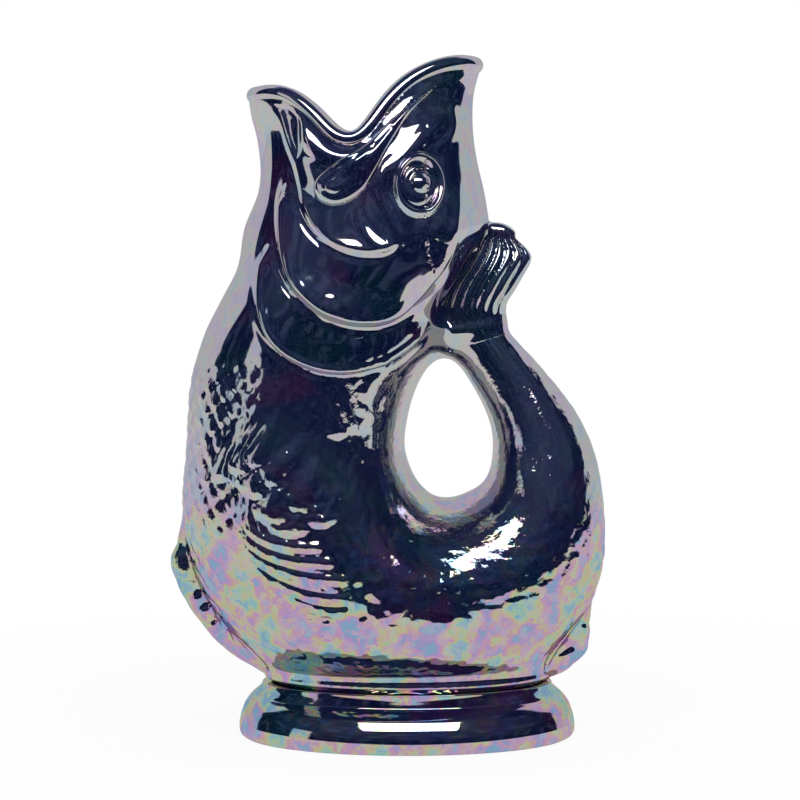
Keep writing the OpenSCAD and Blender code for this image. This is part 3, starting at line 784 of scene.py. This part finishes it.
def casting():
    """Makes the hollow body, head and tail handle, and gives the skin that the plates lie on"""
    low = (-JUG_L * 0.56, 0, FOOT_H - 2 * SHELL_STEP)
    high = (JUG_L * 0.49, BELLY_D * 0.54, JUG_H)
    points, quads = surface_net(shell_distance, low, high, SHELL_STEP)
    edges = edges_of(quads)
    for _ in range(3):
        outer, inner, cuts = shell_parts(*points.T)
        crest = np.maximum(-inner, cuts)
        on_outside = outer > crest + SHELL_STEP
        on_inside = -inner > np.maximum(outer, cuts) + SHELL_STEP
        free = on_outside | on_inside
        points[free] = relaxed(points, edges)[free]
        settle(outer_distance, points, on_outside)
        settle(inner_distance, points, on_inside)
    skin_points, skin_quads = picked(points, quads, on_outside[quads].all(1))
    moved = points.copy()
    p = points[on_outside]
    moved[on_outside] = p + unit(gradient(outer_distance, p)) * casting_relief(p)[:, None]
    moved[points[:, 1] == 0, 1] = 0
    moved[on_outside] = relaxed(moved, edges, 0.4)[on_outside]
    by_hole = on_outside & (oval(points[:, [0, 2]], HOLE_CENTRE, HOLE_HALF) < 1)
    for _ in range(10):
        moved[by_hole] = relaxed(moved, edges)[by_hole]
    piece("fish_casting", *mirrored(moved, quads), "belly_shell", "head_shell", "tail_handle")
    return skin_points, skin_quads


# How far a plate is let into the casting, how deep its underside lies, and from what rise it counts (mm)
PLATE_SINK = 0.12
PLATE_ROOT = 0.9
PLATE_START = 0.01


def plate(name, skin, rise_of):
    """A closed plate of relief on the right side, and its mirror image on the left"""
    points, quads = skin
    side = points[:, 1] > 4
    rise = np.where(side, rise_of(pixel_of(points)), 0) > PLATE_START
    points, quads = halved(*picked(points, quads, rise[quads].any(1) & side[quads].all(1)))
    settle(outer_distance, points, np.ones(len(points), bool))
    points, quads = picked(points, quads, (rise_of(pixel_of(points)) > PLATE_START)[quads].any(1))
    n = unit(gradient(outer_distance, points))
    ground = casting_relief(points)
    top = points + n * (ground + rise_of(pixel_of(points)) - PLATE_SINK)[:, None]
    bottom = points + n * (ground - PLATE_ROOT)[:, None]
    border = open_edges(quads)
    count = len(points)
    skirt = np.stack([border[:, 1], border[:, 0], border[:, 0] + count, border[:, 1] + count], 1)
    all_points = np.concatenate([top, bottom])
    all_quads = np.concatenate([quads, quads[:, ::-1] + count, skirt])
    piece(name + "_right", all_points, all_quads, name + "_right")
    piece(name + "_left", all_points * (1, -1, 1), all_quads[:, ::-1], name + "_left")


# How far a fin's fillet spreads, how deep its root goes, how far the fillet sinks, and its net's margin (mm)
FIN_SKIRT = 3.0
FIN_ROOT = 1.5
FIN_SINK = 0.25
FIN_ROOM = 6


def fin(name, shares, end_round, relief):
    """A fin with a fillet onto the casting, hollow where the casting's wall fills it"""
    sweep = Sweep(shares, end_round)

    def parts(x, y, z):
        own = section_distance(sweep.maps(x, z), y)
        carrier = outer_distance(x, y, z)
        return own, carrier, smooth_min(own, carrier + FIN_SINK, FIN_FILLET)

    def distance(x, y, z):
        own, carrier, joined = parts(x, y, z)
        return np.maximum(np.maximum(np.maximum(joined, own - FIN_SKIRT), -carrier - FIN_ROOT), FOOT_H - z)

    def outside(x, y, z):
        return parts(x, y, z)[2]

    lo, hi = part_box(name)
    low = (lo.x / MM - FIN_ROOM, 0, max(lo.z / MM - FIN_ROOM, FOOT_H - 2 * FIN_STEP))
    high = (hi.x / MM + FIN_ROOM, hi.y / MM + FIN_ROOM, hi.z / MM + FIN_ROOM)
    points, quads = surface_net(distance, low, high, FIN_STEP)
    edges = edges_of(quads)
    for _ in range(3):
        own, carrier, joined = parts(*points.T)
        on_outside = (np.abs(joined) < FIN_STEP) & (own < FIN_SKIRT - 1) & (carrier > -FIN_ROOT + 0.8)
        on_outside &= points[:, 2] > FOOT_H + FIN_STEP
        points[on_outside] = relaxed(points, edges)[on_outside]
        settle(outside, points, on_outside)
    p = points[on_outside]
    m = sweep.maps(p[:, 0], p[:, 2])
    own = section_distance(m, p[:, 1])
    amount = relief(m, p) * (1 - smoothstep(own, 0.2, 1.6))
    moved = points.copy()
    moved[on_outside] = p + unit(gradient(outside, p)) * amount[:, None]
    moved[points[:, 1] == 0, 1] = 0
    piece(name, *mirrored(moved, quads), name)


def rays(t, count, sharp):
    """Round rays with narrow grooves between them"""
    return np.abs(np.sin(np.pi * count * t)) ** sharp


# Hollows near the edges of the ventral and anal fins: line (px), depth (mm), half width (px)
VENTRAL_HOLLOWS = (([(186, 546), (187, 564), (194, 590)], 1.7, 11.0), ([(198, 580), (203, 604)], 1.7, 8.5),
                   ([(207, 602), (211, 620)], 1.4, 7.0), ([(215, 622), (218, 630)], 1.0, 5.5),
                   ([(226, 634), (230, 643)], 1.0, 5.5))
ANAL_HOLLOWS = (([(560, 651), (571, 646)], 1.3, 8.0), ([(546, 662), (552, 658)], 1.1, 6.5),
                ([(538, 667), (542, 663)], 0.9, 5.0), ([(535, 682), (541, 678)], 1.0, 6.5))


def tail_fin_relief(m, p):
    t = (1 + m["p"]) / 2
    grow = smoothstep(m["s"], 0.1, 1.2)
    swell = band(m["s"], 0, 1.6, 1.4, 4.6)
    return ((rays(t, 8, 0.9) - 0.8) * grow + 1.7 * swell) * (1 - smoothstep(m["w"], 0, 0.7))


def keel_relief(m, p, sections, ribs, height, drop, hollows):
    """Ribs towards the free edge of the ventral or the anal fin, and its hollows"""
    uv = pixel_of(p)
    dents = sum(depth * ridge(beside(line, uv, half_w)[0], half_w) for line, depth, half_w in hollows)
    ribbed = height * rays(m["s"] / sections, ribs, 0.8) - drop
    return ribbed * smoothstep(m["p"], -0.8, 0.2) - dents


def ventral_fin_relief(m, p):
    return keel_relief(m, p, 8, 8, 0.2, 0.2, VENTRAL_HOLLOWS)


def anal_fin_relief(m, p):
    return keel_relief(m, p, 5, 4, 0.4, 0.3, ANAL_HOLLOWS)


def tube_quads(rings, sides):
    """Quads between closed rings of points, with the last ring joined to the first"""
    here = np.arange(rings * sides).reshape(rings, sides)
    after = np.roll(here, -1, 0)
    return np.stack([here, np.roll(here, -1, 1), np.roll(after, -1, 1), after], -1).reshape(-1, 4)


def mouth_rim():
    """The rolled bead, a closed tube along both lips"""
    sides = 20
    x, z = [smoothed(line, 3) for line in lip_line(170)]
    m = BODY.maps(x, z)
    half_l, half_d = m["a"] - WALL_T / 2, m["h"] - WALL_T / 2
    q = np.clip(m["p"] * m["a"] / half_l, -1, 1)
    y = half_d * np.sqrt(1 - q * q)
    y[0] = y[-1] = 0
    loop = np.concatenate([np.stack([x, -y, z], 1), np.stack([x, y, z], 1)[-2::-1]])
    at = np.concatenate([[0], np.cumsum(np.linalg.norm(np.diff(loop, axis=0), axis=1))])
    even = np.linspace(0, at[-1], 321)[:-1]
    path = np.stack([np.interp(even, at, c) for c in loop.T], 1)
    for _ in range(6):
        path = (np.roll(path, 1, 0) + 2 * path + np.roll(path, -1, 0)) / 4
    t = unit(np.roll(path, -1, 0) - np.roll(path, 1, 0))
    side = unit(np.cross(t, (0, 0, 1)))
    up = np.cross(side, t)
    angle = 2 * np.pi * np.arange(sides) / sides
    round_way = side[:, None] * np.cos(angle)[:, None] + up[:, None] * np.sin(angle)[:, None]
    rings = path[:, None] + (LIP_BEAD_D / 2 - 0.1) * round_way
    piece("mouth_rim", rings.reshape(-1, 3), tube_quads(len(path), sides)[:, ::-1], "mouth_rim")


FOOT_RING_W = 5.0


def foot():
    """The oval foot, open underneath"""
    around = 200
    k = np.linspace(0, 1, 60)
    front, end = table_at(np.array(FOOT_SHARES) / 1000, k)
    half_l, half_d, z = FOOT_L / 2 * end, FOOT_D / 2 - FOOT_L / 2 * (1 - front), FOOT_H * k
    inner = np.linspace(1, 0, 12)
    low_l, low_d = half_l[0] - FOOT_RING_W, half_d[0] - FOOT_RING_W
    top_l, top_d = BASE_HALF_L - FOOT_RING_W / 2, BASE_HALF_D - FOOT_RING_W / 2
    half_l = np.concatenate([half_l, low_l + (top_l - low_l) * inner])
    half_d = np.concatenate([half_d, low_d + (top_d - low_d) * inner])
    z = np.concatenate([z, FOOT_H * inner])
    angle = 2 * np.pi * np.arange(around) / around
    points = np.stack([half_l[:, None] * np.cos(angle), half_d[:, None] * np.sin(angle),
                       np.repeat(z[:, None], around, 1)], -1)
    piece("foot", points.reshape(-1, 3), tube_quads(len(z), around), "foot")


class Nodes:
    """Short calls for building a node tree"""

    def __init__(self, tree):
        self.tree = tree
        tree.nodes.clear()

    def add(self, kind, settings=(), **inputs):
        """A node with its settings, and values or links for its named inputs"""
        node = self.tree.nodes.new(kind)
        for key, value in dict(settings).items():
            setattr(node, key, value)
        for key, value in inputs.items():
            self.put(node, key.replace("_", " "), value)
        return node

    def put(self, node, key, value):
        if isinstance(value, bpy.types.NodeSocket):
            self.tree.links.new(value, node.inputs[key])
        else:
            node.inputs[key].default_value = value

    def fed(self, kind, settings, *values):
        """A node with values or links for its first inputs in order, and its first output"""
        node = self.add(kind, settings)
        for k, value in enumerate(values):
            self.put(node, k, value)
        return node.outputs[0]

    def math(self, operation, a, b=0.0):
        return self.fed("ShaderNodeMath", {"operation": operation}, a, b)

    def times(self, a, b):
        return self.math("MULTIPLY", a, b)

    def between(self, value, low, high, to_low=0.0, to_high=1.0):
        smooth = {"interpolation_type": "SMOOTHSTEP"}
        return self.fed("ShaderNodeMapRange", smooth, value, low, high, to_low, to_high)

    def mix(self, factor, a, b):
        node = self.add("ShaderNodeMix", {"data_type": "RGBA"})
        for key, value in ((0, factor), (6, a), (7, b)):
            self.put(node, key, value)
        return node.outputs[2]

    def shaders(self, factor, a, b):
        """A mix of two shaders"""
        return self.fed("ShaderNodeMixShader", {}, factor, a, b)

    def glow(self, kind, strength, colour=(1, 1, 1, 1)):
        return self.add(kind, Color=colour, Strength=strength).outputs[0]

    def noise(self, coords, scale, detail=2.0, roughness=0.5, distortion=0.0):
        return self.add("ShaderNodeTexNoise", Vector=coords, Scale=scale, Detail=detail, Roughness=roughness,
                        Distortion=distortion).outputs[0]

    def ramp(self, factor, stops):
        node = self.add("ShaderNodeValToRGB", Fac=factor)
        colours = node.color_ramp.elements
        while len(colours) < len(stops):
            colours.new(0.5)
        for element, (at, colour) in zip(colours, stops):
            element.position = at
            element.color = (*colour, 1)
        return node.outputs[0]


# Colours of the glaze under the lustre, in wide drifts
DRIFTS = [(0.36, (0.002, 0.017, 0.044)), (0.45, (0.004, 0.010, 0.050)), (0.55, (0.005, 0.009, 0.050)),
          (0.64, (0.022, 0.007, 0.050))]
# Colours that the lustre gives to what it reflects, patch by patch
PATCHES = [(0.10, (0.42, 0.72, 1)), (0.24, (0.48, 0.94, 0.86)), (0.36, (0.80, 0.96, 0.54)),
           (0.48, (1, 0.88, 0.48)), (0.60, (1, 0.64, 0.68)), (0.72, (0.95, 0.55, 0.95)),
           (0.84, (0.62, 0.58, 1)), (0.94, (0.42, 0.72, 1))]
PEARL = (0.94, 0.92, 0.97, 1)


def glaze():
    """Near-black navy glaze under a mother-of-pearl lustre"""
    GLAZE.use_nodes = True
    n = Nodes(GLAZE.node_tree)
    coords = n.add("ShaderNodeTexCoord").outputs["Object"]
    wobble = n.add("ShaderNodeTexNoise", Vector=coords, Scale=420.0, Detail=3.0).outputs["Color"]
    bent = n.fed("ShaderNodeVectorMath", {"operation": "MULTIPLY_ADD"}, wobble, (0.007, 0.007, 0.010), coords)
    cells = n.add("ShaderNodeTexVoronoi", {"feature": "SMOOTH_F1"}, Vector=bent, Scale=330.0, Smoothness=0.5)
    cell = n.add("ShaderNodeSeparateColor", Color=cells.outputs["Color"])
    drift = n.between(n.noise(coords, 70, 2, 0.6), 0.30, 0.70, -0.1, 1.1)
    hue = n.math("ADD", n.times(cell.outputs[0], 0.40), n.times(drift, 0.66))
    height = n.add("ShaderNodeSeparateXYZ", Vector=coords).outputs["Z"]
    strength = n.times(n.between(cell.outputs[1], 0, 0.7, 0.55, 1), n.between(height, 0.06, 0.11, 1, 0.36))
    peel = n.times(n.between(height, 0.045, 0.060), n.between(height, 0.132, 0.146, 1.0, 0.0))
    bump = n.add("ShaderNodeBump", Strength=peel, Distance=0.00016, Height=n.noise(coords, 440, 3))
    shader = n.add("ShaderNodeBsdfPrincipled", Base_Color=n.ramp(n.noise(coords, 30, 2, 0.5, 0.8), DRIFTS),
                   Roughness=n.between(n.noise(coords, 420), 0.3, 0.7, 0.03, 0.07), IOR=5.5,
                   Specular_Tint=n.mix(strength, PEARL, n.ramp(hue, PATCHES)), Normal=bump.outputs[0])
    n.add("ShaderNodeOutputMaterial", Surface=shader.outputs[0])


FLOOR_RADIUS = 4.0
# The table top ends in front of the jug, where the dark of the room begins in its reflections (m)
TABLE_FRONT = -0.40
# The studio by azimuth from the camera's side (degrees): the white backdrop, and a white panel on the left
BACKDROP_FROM = 107
PANEL_FROM, PANEL_TO = -70, -53
# The softbox over the front: place, aim, width and height (m), power (W)
SOFTBOX_PLACE = (0.02, -0.60, 0.92)
SOFTBOX_AIM = (0, 0, 0.12)
SOFTBOX_W, SOFTBOX_H = 0.76, 0.27
SOFTBOX_POWER = 4.2


def table():
    """A white table top that the camera and the glaze see evenly bright, but for the jug's shadow"""
    bpy.ops.mesh.primitive_circle_add(vertices=64, radius=FLOOR_RADIUS, fill_type="NGON", location=(0, 0, 0))
    floor = bpy.context.object
    floor.name = "table"
    paint = bpy.data.materials.new("white_table")
    paint.use_nodes = True
    n = Nodes(paint.node_tree)
    path = n.add("ShaderNodeLightPath").outputs
    coords = n.add("ShaderNodeTexCoord").outputs["Object"]
    away = n.add("ShaderNodeVectorMath", {"operation": "LENGTH"})
    n.put(away, 0, coords)
    clean = n.between(away.outputs["Value"], 0.12, 0.40, 0.92, 1.0)
    shown = n.math("MAXIMUM", path["Is Camera Ray"], path["Is Glossy Ray"])
    matt = n.add("ShaderNodeBsdfDiffuse", Color=(0.88, 0.88, 0.88, 1)).outputs[0]
    top = n.shaders(n.times(shown, clean), matt, n.glow("ShaderNodeEmission", 1.0))
    front = n.add("ShaderNodeSeparateXYZ", Vector=coords).outputs["Y"]
    gone = n.times(n.math("LESS_THAN", front, TABLE_FRONT), path["Is Glossy Ray"])
    top = n.shaders(gone, top, n.add("ShaderNodeBsdfTransparent").outputs[0])
    n.add("ShaderNodeOutputMaterial", Surface=top)
    floor.data.materials.append(paint)


def studio():
    """The room that the glaze mirrors: a white backdrop, a white panel and dim things, white to the camera"""
    world = bpy.data.worlds.new("studio")
    bpy.context.scene.world = world
    world.use_nodes = True
    n = Nodes(world.node_tree)
    path = n.add("ShaderNodeLightPath").outputs
    coords = n.add("ShaderNodeTexCoord").outputs["Generated"]
    x, y, z = n.add("ShaderNodeSeparateXYZ", Vector=coords).outputs
    azimuth = n.math("DEGREES", n.math("ARCTAN2", x, n.times(y, -1.0)))
    backdrop = n.times(n.between(n.math("ABSOLUTE", azimuth), BACKDROP_FROM - 1, BACKDROP_FROM + 2),
                       n.between(z, 0.80, 0.92, 1.0, 0.15))
    panel = n.times(n.between(azimuth, PANEL_FROM, PANEL_FROM + 2),
                    n.between(azimuth, PANEL_TO - 2, PANEL_TO, 1.0, 0.0))
    panel = n.times(panel, n.times(n.between(z, -0.36, -0.32), n.between(z, 0.40, 0.44, 1.0, 0.0)))
    overhead = n.times(n.between(z, 0.05, 0.60, 0.0, 0.06), n.between(y, 0.2, -0.4))
    dim = n.math("ADD", n.between(n.noise(coords, 8.0, 3, 0.6), 0.46, 0.66, 0.002, 0.09), overhead)
    bright = n.times(n.math("MAXIMUM", backdrop, panel), 0.9)
    tone = n.mix(bright, (0.45, 0.58, 1.0, 1), (1, 1, 1, 1))
    mirrored_room = n.glow("ShaderNodeBackground", n.math("MAXIMUM", dim, bright), tone)
    shiny = n.math("MAXIMUM", path["Is Glossy Ray"], path["Is Transmission Ray"])
    lit = n.shaders(shiny, n.glow("ShaderNodeBackground", 0.7), mirrored_room)
    seen = n.shaders(path["Is Camera Ray"], lit, n.glow("ShaderNodeBackground", 1.0))
    n.add("ShaderNodeOutputWorld", Surface=seen)


def softbox():
    lamp = bpy.data.lights.new("main_softbox", "AREA")
    lamp.shape = "RECTANGLE"
    lamp.size = SOFTBOX_W
    lamp.size_y = SOFTBOX_H
    lamp.energy = SOFTBOX_POWER
    obj = added("main_softbox", lamp)
    obj.location = SOFTBOX_PLACE
    away = obj.location - type(obj.location)(SOFTBOX_AIM)
    obj.rotation_euler = away.to_track_quat("Z", "Y").to_euler()


def camera():
    data = bpy.data.cameras.new("camera")
    data.sensor_width = 36
    data.lens = data.sensor_width * FOCAL_PX / PICTURE_PX
    obj = added("camera", data)
    obj.location = [v * MM for v in CAMERA_AT]
    obj.rotation_euler = (math.pi / 2 - CAMERA_PITCH, 0, 0)
    bpy.context.scene.camera = obj


camera()
glaze()
skin = casting()
for name, rise in (("gill_flap", gill_flap_rise), ("gill_cover", gill_cover_rise),
                   ("jaw_flap", jaw_flap_rise), ("eye_ring", eye_ring_rise), ("eye", eye_rise),
                   ("side_fin", side_fin_rise)):
    plate(name, skin, rise)
fin("tail_fin", TAIL_FIN_SHARES, 5.0, tail_fin_relief)
fin("ventral_fin", VENTRAL_FIN_SHARES, 3.0, ventral_fin_relief)
fin("anal_fin", ANAL_FIN_SHARES, 3.0, anal_fin_relief)
mouth_rim()
foot()
table()
studio()
softbox()
bpy.context.scene.view_settings.view_transform = "Standard"
